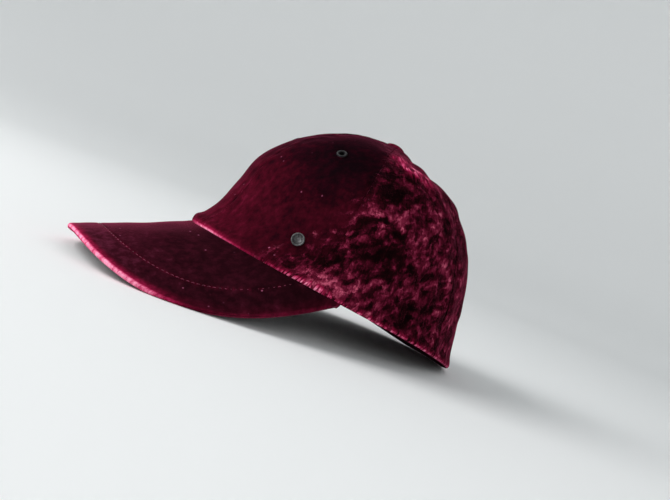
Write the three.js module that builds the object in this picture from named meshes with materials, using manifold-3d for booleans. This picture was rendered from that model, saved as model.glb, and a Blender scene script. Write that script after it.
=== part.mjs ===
// Six-panel velvet cap with a curved peak, resting on a flat surface on its peak and its nape.
// Millimetres, +Z up. The peak points along -Y and the wearer's left is +X.
// The crown and the peak are worked out square to the hem, and then tipped to the angle of rest.

import * as THREE from 'three';
import { mergeVertices } from 'three/addons/utils/BufferGeometryUtils.js';
import Module from 'manifold-3d';

const wasm = await Module();
wasm.setup();

// Cloth and fit
const WALL = 2.0;
const SEAM_GAP = 0.3;
const SEAT_GAP = 0.35;

// Crown: distance from the button's axis and height above the hem's plane, on three lines from hem to button.
// The forehead line flares out towards the peak, and the nape line leans in all the way up.
const CROWN_RINGS = [
  { foreheadOut: 100.0, foreheadUp: 6.5, earOut: 84.0, earUp: 7.0, napeOut: 116.5, napeUp: 0.0 },
  { foreheadOut: 90.0, foreheadUp: 24.0, earOut: 80.5, earUp: 28.0, napeOut: 107.0, napeUp: 25.0 },
  { foreheadOut: 85.0, foreheadUp: 44.0, earOut: 78.0, earUp: 49.5, napeOut: 98.0, napeUp: 50.0 },
  { foreheadOut: 80.5, foreheadUp: 65.0, earOut: 72.5, earUp: 71.0, napeOut: 87.0, napeUp: 73.0 },
  { foreheadOut: 68.0, foreheadUp: 84.3, earOut: 61.0, earUp: 89.4, napeOut: 72.3, napeUp: 92.6 },
  { foreheadOut: 52.0, foreheadUp: 99.0, earOut: 46.0, earUp: 104.2, napeOut: 53.5, napeUp: 106.0 },
  { foreheadOut: 29.0, foreheadUp: 111.2, earOut: 26.0, earUp: 112.2, napeOut: 29.0, napeUp: 109.6 },
  { foreheadOut: 5.0, foreheadUp: 117.0, earOut: 5.0, earUp: 117.0, napeOut: 5.0, napeUp: 117.0 },
];
const PANEL_COUNT = 6;
const PANEL_STEPS = 8;
const RING_STEPS = 16;
const SEAM_VALLEY = 1.0;

// Peak: a stiff crescent bent round a cylinder that slopes down from the forehead
const PEAK_LENGTH = 78.0;
const PEAK_HALF_WIDTH = 91.5;
const PEAK_SLOPE = THREE.MathUtils.degToRad(27.5);
const PEAK_BEND_RADIUS = 105.0;
const PEAK_THICKNESS = 3.6;
const PEAK_END_THICKNESS = 1.6;
const PEAK_TUCK = 2.6;
const PEAK_END_WIDTH = 1.6;
const PEAK_HEM_HOLD = 60.0;
const PEAK_NOSE_POWER = 2.3;
const PEAK_CORNER_POWER = 3.35;
const PEAK_STATIONS = 40;
const PEAK_STEPS = 8;
const PEAK_STATION_POWER = 3;
const PEAK_STEP_POWER = 1.6;
const PEAK_TAPER_POWER = 8;
const PEAK_LIP_SHARE = 0.35;

// Trim. A place on the crown is an azimuth in degrees from the forehead's centre towards the wearer's left,
// and a share of the way up from the hem to the button.
const EYELET = {
  azimuth: 35.5, rise: 0.6, headRadius: 3.55, headHeight: 0.8, edge: 0.2, holeRadius: 1.9, barrelRadius: 2.4,
};
const RIVET = {
  azimuth: 45, rise: 0.16, headRadius: 4.2, headHeight: 1.4, edge: 0.35, postRadius: 1.6,
};
const BUTTON = { radius: 7.2, height: 3.5, shankRadius: 3.8, plateRadius: 6.5 };
const CLINCH_RADIUS = 3.6;
const CLINCH_HEIGHT = 0.6;
const HEAD_GAP = 0.2;
const CLINCH_GAP = 0.7;
const DRILL_PLAY = 0.4;
const DRILL_LENGTH = 12;
const ROUND_SIDES = 24;
const DOME_STEPS = 5;
const BUTTON_UNDERCUT = 0.18;
const NORMAL_STEP = 1e-3;
const MERGE_DISTANCE = 1e-4;

// Rest: how far the cap tips back from its hem's plane, and how deep the cloth is pressed flat where it rests
const REST_PITCH = THREE.MathUtils.degToRad(9.0);
const REST_PRESS = 1.0;

const velvet = new THREE.MeshStandardMaterial({
  name: 'velvet', color: 0x4a0f22, roughness: 0.9, metalness: 0,
});
const metal = new THREE.MeshStandardMaterial({
  name: 'metal', color: 0x4c4a4a, roughness: 0.4, metalness: 1,
});

// One line of the crown's table as a smooth curve from hem to button.
function column(out, up) {
  return new THREE.SplineCurve(CROWN_RINGS.map((ring) => new THREE.Vector2(ring[out], ring[up])));
}

const forehead = column('foreheadOut', 'foreheadUp');
const ear = column('earOut', 'earUp');
const nape = column('napeOut', 'napeUp');

// Point of the crown before the seams pull it in: half ellipses front and back, and heights blended
// between the lines by the cosine's square.
function crownForm(azimuth, rise) {
  const ahead = Math.cos(azimuth);
  const aside = Math.sin(azimuth);
  const centre = (ahead > 0 ? forehead : nape).getPoint(rise);
  const flank = ear.getPoint(rise);
  return new THREE.Vector3(flank.x * aside, -centre.x * ahead, centre.y * ahead ** 2 + flank.y * aside ** 2);
}

// Outward direction of the crown's form, from two short steps along it.
function crownNormal(azimuth, rise) {
  const low = Math.min(rise, 1 - NORMAL_STEP);
  const along = crownForm(azimuth + NORMAL_STEP, low).sub(crownForm(azimuth - NORMAL_STEP, low));
  const up = crownForm(azimuth, low + NORMAL_STEP).sub(crownForm(azimuth, Math.max(low - NORMAL_STEP, 0)));
  return along.cross(up).normalize();
}

// Outside of the cloth: each panel swells a little between its two seams, less so at the hem and the button.
function crownOutside(azimuth, rise) {
  const swell = Math.sqrt(Math.abs(Math.sin((azimuth * PANEL_COUNT) / 2)));
  const depth = SEAM_VALLEY * Math.sin(Math.PI * rise) * (1 - swell);
  return crownForm(azimuth, rise).addScaledVector(crownNormal(azimuth, rise), -depth);
}

// Inside of the cloth: one wall in from the outside, level with it at the hem.
function crownInside(azimuth, rise) {
  const inward = crownNormal(azimuth, rise);
  if (rise === 0) {
    inward.setZ(0).normalize();
  }
  return crownOutside(azimuth, rise).addScaledVector(inward, -WALL);
}

// Tips a point of the hem's frame back to the angle of rest.
function tip(point) {
  return point.applyAxisAngle(new THREE.Vector3(1, 0, 0), -REST_PITCH);
}

// Closed solid between two grids of points of the same size, the first one on the outside.
function shell(outside, inside) {
  const rows = outside.length;
  const columns = outside[0].length;
  const corners = [...outside.flat(), ...inside.flat()].flatMap((point) => point.toArray());
  const faces = [];
  const at = (row, col, within) => (within ? rows * columns : 0) + row * columns + col;
  const quad = (a, b, c, d) => faces.push(a, b, c, a, c, d);
  for (let row = 0; row < rows - 1; row += 1) {
    for (let col = 0; col < columns - 1; col += 1) {
      quad(at(row, col, 0), at(row + 1, col, 0), at(row + 1, col + 1, 0), at(row, col + 1, 0));
      quad(at(row, col, 1), at(row, col + 1, 1), at(row + 1, col + 1, 1), at(row + 1, col, 1));
    }
  }
  for (let row = 0; row < rows - 1; row += 1) {
    const last = columns - 1;
    quad(at(row, 0, 0), at(row, 0, 1), at(row + 1, 0, 1), at(row + 1, 0, 0));
    quad(at(row, last, 0), at(row + 1, last, 0), at(row + 1, last, 1), at(row, last, 1));
  }
  for (let col = 0; col < columns - 1; col += 1) {
    const last = rows - 1;
    quad(at(0, col, 0), at(0, col + 1, 0), at(0, col + 1, 1), at(0, col, 1));
    quad(at(last, col, 0), at(last, col, 1), at(last, col + 1, 1), at(last, col + 1, 0));
  }
  const geometry = new THREE.BufferGeometry();
  geometry.setAttribute('position', new THREE.Float32BufferAttribute(corners, 3));
  geometry.setIndex(faces);
  return geometry;
}

// One crown panel: columns of points between two seams, rings from the hem to the button.
function panelShell(index) {
  const width = (2 * Math.PI) / PANEL_COUNT;
  const grid = (surface) => Array.from({ length: PANEL_STEPS + 1 }, (_, col) =>
    Array.from({ length: RING_STEPS + 1 }, (__, ring) => {
      const rise = ring / RING_STEPS;
      const middle = crownForm(width * (index + 0.5), rise);
      const trim = SEAM_GAP / 2 / Math.hypot(middle.x, middle.y);
      const azimuth = width * index + trim + ((width - 2 * trim) * col) / PANEL_STEPS;
      return tip(surface(azimuth, rise));
    }));
  return shell(grid(crownOutside), grid(crownInside));
}

// Top of the peak, flat crescent (across, ahead) bent down at both sides and sloped down ahead.
function peakSheet(across, ahead) {
  const turn = across / PEAK_BEND_RADIUS;
  const drop = PEAK_BEND_RADIUS * (1 - Math.cos(turn));
  const { foreheadOut, foreheadUp } = CROWN_RINGS[0];
  return new THREE.Vector3(
    PEAK_BEND_RADIUS * Math.sin(turn),
    -(foreheadOut + ahead * Math.cos(PEAK_SLOPE) - drop * Math.sin(PEAK_SLOPE)),
    foreheadUp - SEAT_GAP - ahead * Math.sin(PEAK_SLOPE) - drop * Math.cos(PEAK_SLOPE),
  );
}

// Azimuth of the hem above a point of the flat crescent, and how far back the inner edge lies there.
function peakInnerEdge(across) {
  const { foreheadOut, earOut } = CROWN_RINGS[0];
  const turn = across / PEAK_BEND_RADIUS;
  const azimuth = Math.asin((PEAK_BEND_RADIUS * Math.sin(turn)) / earOut);
  const drop = PEAK_BEND_RADIUS * (1 - Math.cos(turn));
  const ahead = (foreheadOut * (Math.cos(azimuth) - 1) + drop * Math.sin(PEAK_SLOPE)) / Math.cos(PEAK_SLOPE);
  return { azimuth, ahead };
}

// The crescent's outer edge: a superellipse from corner to corner.
function peakOuterEdge(across) {
  const corner = peakInnerEdge(PEAK_HALF_WIDTH).ahead;
  const share = Math.min(Math.abs(across) / PEAK_HALF_WIDTH, 1);
  const reach = (1 - share ** PEAK_NOSE_POWER) ** (1 / PEAK_CORNER_POWER);
  return corner + PEAK_END_WIDTH + (PEAK_LENGTH - corner - PEAK_END_WIDTH) * reach;
}

// A point of the peak's top between its seat under the hem (0) and its outer edge (1).
// Close to the hem the sheet is drawn to the hem's own height.
function peakTop(across, share) {
  const { azimuth, ahead } = peakInnerEdge(across);
  const distance = (peakOuterEdge(across) - ahead) * share;
  const seat = peakSheet(across, ahead);
  const lift = crownForm(azimuth, 0).z - SEAT_GAP - seat.z;
  const hold = Math.max(1 - distance / PEAK_HEM_HOLD, 0) ** 2;
  return peakSheet(across, ahead + distance).add(new THREE.Vector3(0, 0, lift * hold));
}

// Upward direction of the bent crescent.
function peakNormal(across) {
  const turn = across / PEAK_BEND_RADIUS;
  return new THREE.Vector3(
    Math.sin(turn),
    -Math.cos(turn) * Math.sin(PEAK_SLOPE),
    Math.cos(turn) * Math.cos(PEAK_SLOPE),
  );
}

// The peak as one solid, thinned to a round lip along its outer edge and tucked under the hem.
function peakShell() {
  const top = [];
  const bottom = [];
  for (let station = 0; station <= PEAK_STATIONS; station += 1) {
    const along = (2 * station) / PEAK_STATIONS - 1;
    const reach = Math.abs(along);
    const across = PEAK_HALF_WIDTH * Math.sign(along) * (1 - (1 - reach) ** PEAK_STATION_POWER);
    const thickness = PEAK_THICKNESS + (PEAK_END_THICKNESS - PEAK_THICKNESS) * reach ** PEAK_TAPER_POWER;
    const { azimuth, ahead } = peakInnerEdge(across);
    const length = peakOuterEdge(across) - ahead;
    const normal = peakNormal(across);
    const tuck = crownNormal(azimuth, 0).setZ(0).setLength(PEAK_TUCK);
    const under = crownForm(azimuth, 0).sub(tuck);
    const topRow = [under.clone().setZ(under.z - SEAT_GAP)];
    const bottomRow = [under.clone().setZ(under.z - SEAT_GAP - thickness)];
    for (let step = 0; step <= PEAK_STEPS; step += 1) {
      const share = 1 - (1 - step / PEAK_STEPS) ** PEAK_STEP_POWER;
      const inset = Math.min((length * (1 - share)) / (thickness / 2), 1);
      const half = (thickness / 2) * Math.max(Math.sqrt(1 - (1 - inset) ** 2), PEAK_LIP_SHARE);
      const middle = peakTop(across, share).addScaledVector(normal, -thickness / 2);
      topRow.push(middle.clone().addScaledVector(normal, half));
      bottomRow.push(middle.clone().addScaledVector(normal, -half));
    }
    top.push(topRow.map(tip));
    bottom.push(bottomRow.map(tip));
  }
  return shell(bottom, top);
}

// A turned piece from (radius, height) pairs, its axis along a direction of the hem's frame.
function turned(profile, place, axis) {
  const points = profile.map(([radius, height]) => new THREE.Vector2(radius, height));
  const geometry = new THREE.LatheGeometry(points, ROUND_SIDES);
  geometry.applyQuaternion(new THREE.Quaternion().setFromUnitVectors(new THREE.Vector3(0, 1, 0), axis));
  geometry.translate(place.x, place.y, place.z);
  geometry.rotateX(-REST_PITCH);
  return geometry;
}

// The place and axis of a fitting on the crown, on the wearer's left (1) or right (-1).
function seatOf({ azimuth, rise }, side) {
  const angle = THREE.MathUtils.degToRad(azimuth) * side;
  return [crownOutside(angle, rise), crownNormal(angle, rise)];
}

// Eyelet: a flanged ring whose barrel passes through the cloth and is spread out behind it.
function eyeletRing(side) {
  const { headRadius, headHeight, edge, holeRadius, barrelRadius } = EYELET;
  const top = HEAD_GAP + headHeight;
  const back = -(WALL + CLINCH_GAP);
  const profile = [
    [holeRadius, back - CLINCH_HEIGHT],
    [CLINCH_RADIUS, back - CLINCH_HEIGHT],
    [CLINCH_RADIUS, back],
    [barrelRadius, back],
    [barrelRadius, HEAD_GAP],
    [headRadius - edge, HEAD_GAP],
    [headRadius, HEAD_GAP + edge],
    [headRadius - edge, top - edge],
    [(headRadius + holeRadius) / 2, top],
    [holeRadius + edge, top - edge],
    [holeRadius, HEAD_GAP],
    [holeRadius, back - CLINCH_HEIGHT],
  ];
  return turned(profile, ...seatOf(EYELET, side));
}

// Rivet: a flat head with a raised rim, a post through the cloth and a clinched end behind it.
function rivetBody() {
  const { headRadius, headHeight, edge, postRadius } = RIVET;
  const top = HEAD_GAP + headHeight;
  const back = -(WALL + CLINCH_GAP);
  const profile = [
    [0, back - CLINCH_HEIGHT],
    [CLINCH_RADIUS, back - CLINCH_HEIGHT],
    [CLINCH_RADIUS, back],
    [postRadius, back],
    [postRadius, HEAD_GAP],
    [headRadius - edge, HEAD_GAP],
    [headRadius, HEAD_GAP + edge],
    [headRadius, top - edge],
    [headRadius - edge, top],
    [headRadius - 2 * edge, top],
    [headRadius - 3 * edge, top - edge],
    [0, top - edge],
  ];
  return turned(profile, ...seatOf(RIVET, 1));
}

// Button: a domed head over the meeting point of the panels, a shank through it and a plate under it.
function buttonBody() {
  const { radius, height, shankRadius, plateRadius } = BUTTON;
  const { foreheadUp } = CROWN_RINGS.at(-1);
  const under = radius - shankRadius;
  const fall = under * BUTTON_UNDERCUT;
  const plateTop = -(WALL + CLINCH_GAP + fall);
  const profile = [
    [0, plateTop - CLINCH_HEIGHT],
    [plateRadius, plateTop - CLINCH_HEIGHT],
    [plateRadius, plateTop],
    [shankRadius, plateTop],
    [shankRadius, SEAT_GAP],
  ];
  for (let step = 0; step <= DOME_STEPS; step += 1) {
    const angle = ((Math.PI / 2) * step) / DOME_STEPS;
    const out = step === DOME_STEPS ? 0 : radius * Math.cos(angle);
    profile.push([out, SEAT_GAP - fall + height * Math.sin(angle)]);
  }
  return turned(profile, new THREE.Vector3(0, 0, foreheadUp), new THREE.Vector3(0, 0, 1));
}

// A straight drill of a given radius, square to the crown.
function drill(place, radius, side) {
  const rod = new THREE.CylinderGeometry(radius, radius, DRILL_LENGTH, ROUND_SIDES);
  const [seat, axis] = seatOf(place, side);
  rod.applyQuaternion(new THREE.Quaternion().setFromUnitVectors(new THREE.Vector3(0, 1, 0), axis));
  rod.translate(seat.x, seat.y, seat.z);
  rod.rotateX(-REST_PITCH);
  return rod;
}

function toSolid(geometry) {
  const bare = geometry.clone();
  bare.deleteAttribute('normal');
  bare.deleteAttribute('uv');
  const merged = mergeVertices(bare, MERGE_DISTANCE);
  return new wasm.Manifold(new wasm.Mesh({
    numProp: 3,
    vertProperties: new Float32Array(merged.attributes.position.array),
    triVerts: new Uint32Array(merged.index.array),
  }));
}

// A solid with holes drilled through it.
function drilled(geometry, drills) {
  const solid = drills.reduce((left, rod) => left.subtract(toSolid(rod)), toSolid(geometry));
  const mesh = solid.getMesh();
  const cut = new THREE.BufferGeometry();
  cut.setAttribute('position', new THREE.BufferAttribute(mesh.vertProperties, mesh.numProp));
  cut.setIndex(new THREE.BufferAttribute(mesh.triVerts, 1));
  return cut;
}

const panelNames = [
  'front_left_panel', 'side_left_panel', 'back_left_panel',
  'back_right_panel', 'side_right_panel', 'front_right_panel',
];
const panels = panelNames.map((name, index) => panelShell(index));
const peak = peakShell();

// Height of the floor under the tipped cap: the lowest cloth, less what is pressed flat.
const lowest = [...panels, peak].map((geometry) => {
  geometry.computeBoundingBox();
  return geometry.boundingBox.min.z;
});
const floor = Math.min(...lowest) + REST_PRESS;

// Lowers a piece of cloth onto the floor and flattens what would lie below it.
function pressed(geometry) {
  geometry.translate(0, 0, -floor);
  const { position } = geometry.attributes;
  for (let index = 0; index < position.count; index += 1) {
    position.setZ(index, Math.max(position.getZ(index), 0));
  }
  return geometry;
}

function lowered(geometry) {
  return geometry.translate(0, 0, -floor);
}

const holes = {
  front_left_panel: [
    drill(EYELET, EYELET.barrelRadius + DRILL_PLAY, 1),
    drill(RIVET, RIVET.postRadius + DRILL_PLAY, 1),
  ],
  front_right_panel: [drill(EYELET, EYELET.barrelRadius + DRILL_PLAY, -1)],
};

const cap = new THREE.Group();

function add(name, geometry, material) {
  const mesh = new THREE.Mesh(geometry, material);
  mesh.name = name;
  cap.add(mesh);
}

panelNames.forEach((name, index) => {
  const cloth = pressed(panels[index]);
  const rods = (holes[name] ?? []).map(lowered);
  add(name, rods.length ? drilled(cloth, rods) : cloth, velvet);
});
add('peak', pressed(peak), velvet);
add('top_button', lowered(buttonBody()), velvet);
add('eyelet_left', lowered(eyeletRing(1)), metal);
add('eyelet_right', lowered(eyeletRing(-1)), metal);
add('temple_rivet', lowered(rivetBody()), metal);

// The origin lies under the middle of the cap, on the surface that it rests on.
const middle = new THREE.Box3().setFromObject(cap).getCenter(new THREE.Vector3());
cap.position.set(0, -middle.y, 0);

export default cap;
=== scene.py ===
"""A six-panel cap of crushed velvet with a curved peak, at rest on its peak and its nape.

Metres, +Z up. The peak points along -Y and the wearer's left is +X. Sizes named _MM are in millimetres.
"""

import bpy
import numpy as np
from mathutils import Matrix


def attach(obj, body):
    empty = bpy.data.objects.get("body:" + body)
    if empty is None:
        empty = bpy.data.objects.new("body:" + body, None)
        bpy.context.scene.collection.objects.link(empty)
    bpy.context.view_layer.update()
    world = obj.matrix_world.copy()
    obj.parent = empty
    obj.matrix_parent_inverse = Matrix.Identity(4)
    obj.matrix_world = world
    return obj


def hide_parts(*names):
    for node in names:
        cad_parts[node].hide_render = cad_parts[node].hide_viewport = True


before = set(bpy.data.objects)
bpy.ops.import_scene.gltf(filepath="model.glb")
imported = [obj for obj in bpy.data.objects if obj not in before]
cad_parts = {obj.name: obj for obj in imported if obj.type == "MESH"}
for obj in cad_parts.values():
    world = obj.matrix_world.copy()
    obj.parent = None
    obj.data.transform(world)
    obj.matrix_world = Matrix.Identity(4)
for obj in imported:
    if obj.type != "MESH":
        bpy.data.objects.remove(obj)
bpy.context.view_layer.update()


# Camera: off the cap's left front, a little above the surface that the cap rests on. It is rolled, so that
# the cap stands in the frame at the tilt that it has in its picture, and its frame is 670 by 500 pixels.
MM = 0.001
FRAME_WIDTH, FRAME_HEIGHT = 670, 500
SENSOR_MM = 36.0
CAMERA_AZIMUTH = np.radians(59.10)
CAMERA_RISE = np.radians(3.2)
CAMERA_ROLL = np.radians(21.38)
CAMERA_DISTANCE_MM = 600.0
CAMERA_AIM_MM = np.array([0.0, 0.0, 60.0])
AIM_PIXEL = (301.46, 227.33)
PIXELS_PER_MM = 1.4886

away = np.array([
    np.sin(CAMERA_AZIMUTH) * np.cos(CAMERA_RISE),
    -np.cos(CAMERA_AZIMUTH) * np.cos(CAMERA_RISE),
    np.sin(CAMERA_RISE),
])
level = np.array([np.cos(CAMERA_AZIMUTH), np.sin(CAMERA_AZIMUTH), 0.0])
upright = np.cross(away, level)
frame_right = level * np.cos(CAMERA_ROLL) + upright * np.sin(CAMERA_ROLL)
frame_up = upright * np.cos(CAMERA_ROLL) - level * np.sin(CAMERA_ROLL)
eye_mm = (
    CAMERA_AIM_MM
    + away * CAMERA_DISTANCE_MM
    - frame_right * (AIM_PIXEL[0] - FRAME_WIDTH / 2) / PIXELS_PER_MM
    + frame_up * (AIM_PIXEL[1] - FRAME_HEIGHT / 2) / PIXELS_PER_MM
)
camera_data = bpy.data.cameras.new("camera")
camera_data.sensor_width = SENSOR_MM
camera_data.lens = PIXELS_PER_MM * CAMERA_DISTANCE_MM * SENSOR_MM / FRAME_WIDTH
camera = bpy.data.objects.new("camera", camera_data)
camera.matrix_world = Matrix(np.vstack([
    np.stack([frame_right, frame_up, away, eye_mm * MM], axis=1),
    [0.0, 0.0, 0.0, 1.0],
]).tolist())
bpy.context.scene.collection.objects.link(camera)
bpy.context.scene.camera = camera


# Crown: six gores of crushed velvet, sewn edge to edge from the hem to the button. The two front gores are
# backed, so their pile stays smooth, and the side and back gores are crushed into bright and dark patches.
# Each gore is one closed skin: its hem is turned under, and its edges roll into the seams.
PANELS = [
    "front_left_panel", "side_left_panel", "back_left_panel",
    "back_right_panel", "side_right_panel", "front_right_panel",
]
PANEL_ANGLE = 2 * np.pi / len(PANELS)
# Three lines up the crown, from the hem to the button. A row is a distance from its axis and a height.
FOREHEAD_LINE_MM = np.array([
    (100, 6.5), (90, 24), (85, 44), (80.5, 65), (68, 84.3), (52, 99), (29, 111.2), (5, 117),
], float)
EAR_LINE_MM = np.array([
    (84, 7), (80.5, 28), (78, 49.5), (72.5, 71), (61, 89.4), (46, 104.2), (26, 112.2), (5, 117),
], float)
NAPE_LINE_MM = np.array([
    (116.5, 0), (107, 25), (98, 50), (87, 73), (72.3, 92.6), (53.5, 106), (29, 109.6), (5, 117),
], float)
# Each gore's grid: its columns across and rows up, and how far they crowd towards its edges and towards the
# hem.
PANEL_COLUMNS, PANEL_ROWS = 112, 176
COLUMN_CROWDING, ROW_CROWDING = 0.7, 0.55
WALL_MM = 2.0
SEAM_LAP_MM = 0.12
SEAM_VALLEY_MM = 0.3
SEAM_ROLL_MM = 0.3
HEM_ROLL_MM = 1.5
HEM_PLUMP_MM = 0.5
HEM_BULGE_MM = 1.3
SLACK_MM, SLACK_WAVE_MM = 0.45, 60
CRUMPLE_MM, CRUMPLE_WAVE_MM = 0.4, 17
PUCKER_MM, PUCKER_WAVE_MM, PUCKER_REACH_MM = 0.15, 9, 6
BUTTON_PUFF_MM = 0.9
PILE_SHIFT_MM = 230
LIP_SHARE = 0.3
REST_PITCH = np.radians(9.0)
REST_RISE_MM = 17.2246
REST_SHIFT_MM = 28.1695
# Edge of the crushed ground, in degrees from the front: where it is high up, how much further forward it
# comes at the hem, the rise over which it does, and half the width of its fade.
CRUSH_EDGE_DEG, CRUSH_SPREAD_DEG, CRUSH_SPREAD_RISE, CRUSH_FADE_DEG = 62, 28, 0.17, 15
# Bend in the left side gore, where the pile splays and a painted highlight runs down from the button, in
# degrees and rise: its middle, half its length, the stretch over which it starts, its fall with each
# degree, and half its width.
BEND_DEG, BEND_RISE, BEND_HALF_LENGTH_DEG = 80, 0.7394, 16
BEND_START_DEG, BEND_FALL, BEND_HALF_WIDTH = (57, 67), 0.0016, 0.05
# How far up from the hem the pile splays and a painted highlight is laid on: all round, and how much
# further at the temples.
HEM_SPLAY_AND_HIGHLIGHT_MM, TEMPLE_SPLAY_AND_HIGHLIGHT_MM = 1.6, 3.9
# Where the crushed pile leans one way as a whole, painted lighter and darker, partly as painted highlight
# and shade: degrees and rise, half of each width, and brightness.
CRUSH_DRIFTS_LIT_AND_SHADED = [
    (72, 0.76, 9, 0.045, 0.36), (90, 0.72, 12, 0.05, 0.24), (106, 0.66, 10, 0.05, 0.1),
    (70, 0.56, 9, 0.09, -0.26), (132, 0.66, 14, 0.08, -0.2), (65, 0.41, 5, 0.05, 0.26),
    (79, 0.45, 6, 0.06, 0.24), (80, 0.36, 9, 0.03, -0.2), (92, 0.27, 16, 0.03, -0.2),
    (68, 0.09, 9, 0.05, 0.16), (88, 0.08, 6, 0.05, 0.2),
    (97, 0.11, 6, 0.06, -0.2), (117, 0.46, 6, 0.09, -0.06), (113, 0.2, 9, 0.07, -0.04),
]
# Fittings through the front gores: azimuth and rise, the radius of an eyelet's hole in the cloth, and how
# deep and how far round a fitting presses the cloth in.
EYELET_PLACE = (np.radians(35.5), 0.6)
RIVET_PLACE = (np.radians(45.0), 0.16)
EYELET_DRILL_MM = 2.8
FITTING_PRESS_MM = 0.3
FITTING_REACH_MM = 6.0


def along_line(line, share):
    """Point of a smooth line through a table's rows: between two rows a cubic, whose slope at each row is
    half the way between that row's neighbours."""
    place = np.clip(share, 0, 1) * (len(line) - 1)
    row = np.minimum(place.astype(int), len(line) - 2)
    step = (place - row)[..., None]
    before, start, end, after = (line[np.clip(row + k, 0, len(line) - 1)] for k in (-1, 0, 1, 2))
    leave, arrive = (end - before) / 2, (after - start) / 2
    return (
        (2 * start - 2 * end + leave + arrive) * step**3
        + (3 * end - 3 * start - 2 * leave - arrive) * step**2
        + leave * step
        + start
    )


def crown_form(azimuth, rise):
    """Crown before its relief: half ellipses front and back, and the height blended by cosine squared."""
    ahead, aside = np.cos(azimuth), np.sin(azimuth)
    front, back = along_line(FOREHEAD_LINE_MM, rise), along_line(NAPE_LINE_MM, rise)
    centre = np.where(ahead[..., None] > 0, front, back)
    ear = along_line(EAR_LINE_MM, rise)
    height = centre[..., 1] * ahead**2 + ear[..., 1] * aside**2
    return np.stack([ear[..., 0] * aside, -centre[..., 0] * ahead, height], axis=-1)


def crown_normal(azimuth, rise):
    """Outward direction of the crown: the cross product of a short step along it and one up it."""
    step = 1e-3
    low = np.minimum(rise, 1 - step)
    along = crown_form(azimuth + step, low) - crown_form(azimuth - step, low)
    up = crown_form(azimuth, low + step) - crown_form(azimuth, np.maximum(low - step, 0))
    normal = np.cross(along, up)
    return normal / np.linalg.norm(normal, axis=-1, keepdims=True)


def ripple(points, wavelength, seed, waves=14):
    """Gentle random relief from -1 to 1 or so: sine waves of one length in random directions, added up and
    divided by the square root of their number."""
    random = np.random.default_rng(seed)
    turns = random.normal(size=(waves, 3))
    turns *= 2 * np.pi / wavelength / np.linalg.norm(turns, axis=1, keepdims=True)
    phases = random.uniform(0, 2 * np.pi, waves)
    return np.sin(points @ turns.T + phases).sum(axis=-1) / np.sqrt(waves)


def fade(value, start, end):
    """Smooth step from 0 at start to 1 at end."""
    share = np.clip((value - start) / (end - start), 0, 1)
    return share * share * (3 - 2 * share)


def hump(value, middle, reach):
    """Bell from 0 to 1: falls to a third at the reach on either side of the middle."""
    return np.exp(-(((value - middle) / reach) ** 2))


def rest(points):
    """From the hem's frame in millimetres to the cap at rest in metres: tipped back, raised, moved to the
    origin, and pressed flat where it would go below the surface."""
    x, y, z = np.moveaxis(points, -1, 0)
    tipped_y = y * np.cos(REST_PITCH) + z * np.sin(REST_PITCH) + REST_SHIFT_MM
    tipped_z = z * np.cos(REST_PITCH) - y * np.sin(REST_PITCH) + REST_RISE_MM
    return np.stack([x, tipped_y, np.maximum(tipped_z, 0)], axis=-1) * MM


def rounded(distance, roll):
    """Share of a cloth's half thickness near a rolled edge: a quarter circle, as wide as the roll."""
    inset = np.clip(distance / roll, 0, 1)
    return np.maximum(np.sqrt(1 - (1 - inset) ** 2), LIP_SHARE)


def skin_faces(kept):
    """Faces of a closed skin between two grids of points, the outer grid first: the outside and the inside
    of each kept cell, and a wall along every edge that has a kept cell on one side only."""
    rows, columns = kept.shape
    at = np.arange((rows + 1) * (columns + 1)).reshape(rows + 1, columns + 1)
    under = at + at.size
    framed = np.pad(kept, 1)
    before, after = framed[1:-1, :-1], framed[1:-1, 1:]
    below, above = framed[:-1, 1:-1], framed[1:, 1:-1]

    def quads(where, *corners):
        return np.stack([corner[where] for corner in corners], axis=1)

    return [
        quads(kept, at[:-1, :-1], at[1:, :-1], at[1:, 1:], at[:-1, 1:]),
        quads(kept, under[:-1, :-1], under[:-1, 1:], under[1:, 1:], under[1:, :-1]),
        quads(after & ~before, at[:-1], under[:-1], under[1:], at[1:]),
        quads(before & ~after, at[:-1], at[1:], under[1:], under[:-1]),
        quads(above & ~below, at[:, :-1], at[:, 1:], under[:, 1:], under[:, :-1]),
        quads(below & ~above, at[:, :-1], under[:, :-1], under[:, 1:], at[:, 1:]),
    ]


def make_piece(name, points, faces, materials, backed=(), pile=None, **values):
    """A piece from its points in metres and its groups of faces. Groups named as backed take the second
    material. pile is a UV map in metres that runs with the pile, and values are attributes, all given point
    by point."""
    used = np.unique(np.concatenate([group.ravel() for group in faces]))
    places = np.zeros(used[-1] + 1, dtype=int)
    places[used] = np.arange(len(used))
    mesh = bpy.data.meshes.new(name)
    rows = sum((places[group].tolist() for group in faces), [])
    mesh.from_pydata(points.reshape(-1, 3)[used], [], rows)
    mesh.polygons.foreach_set("use_smooth", np.ones(len(rows), dtype=bool))
    sides = np.concatenate([np.full(len(group), index in backed) for index, group in enumerate(faces)])
    mesh.polygons.foreach_set("material_index", sides.astype(np.int32))
    for material in materials:
        mesh.materials.append(material)
    if pile is not None:
        corners = np.empty(len(mesh.loops), dtype=np.int32)
        mesh.loops.foreach_get("vertex_index", corners)
        layer = mesh.uv_layers.new(name="pile")
        layer.data.foreach_set("uv", pile.reshape(-1, 2)[used][corners].ravel())
    for key, value in values.items():
        mesh.attributes.new(key, "FLOAT", "POINT").data.foreach_set("value", value.ravel()[used])
    mesh.update()
    piece = bpy.data.objects.new(name, mesh)
    bpy.context.scene.collection.objects.link(piece)
    return piece


def hex_linear(code):
    """Linear colour with alpha from an sRGB hex code."""
    srgb = np.array([int(code[k:k + 2], 16) for k in (1, 3, 5)]) / 255
    linear = np.where(srgb <= 0.04045, srgb / 12.92, ((srgb + 0.055) / 1.055) ** 2.4)
    return (*linear.tolist(), 1.0)


def new_material(name):
    """A node material with its tree and its shader."""
    material = bpy.data.materials.new(name)
    material.use_nodes = True
    return material, material.node_tree, material.node_tree.nodes["Principled BSDF"]


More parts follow.
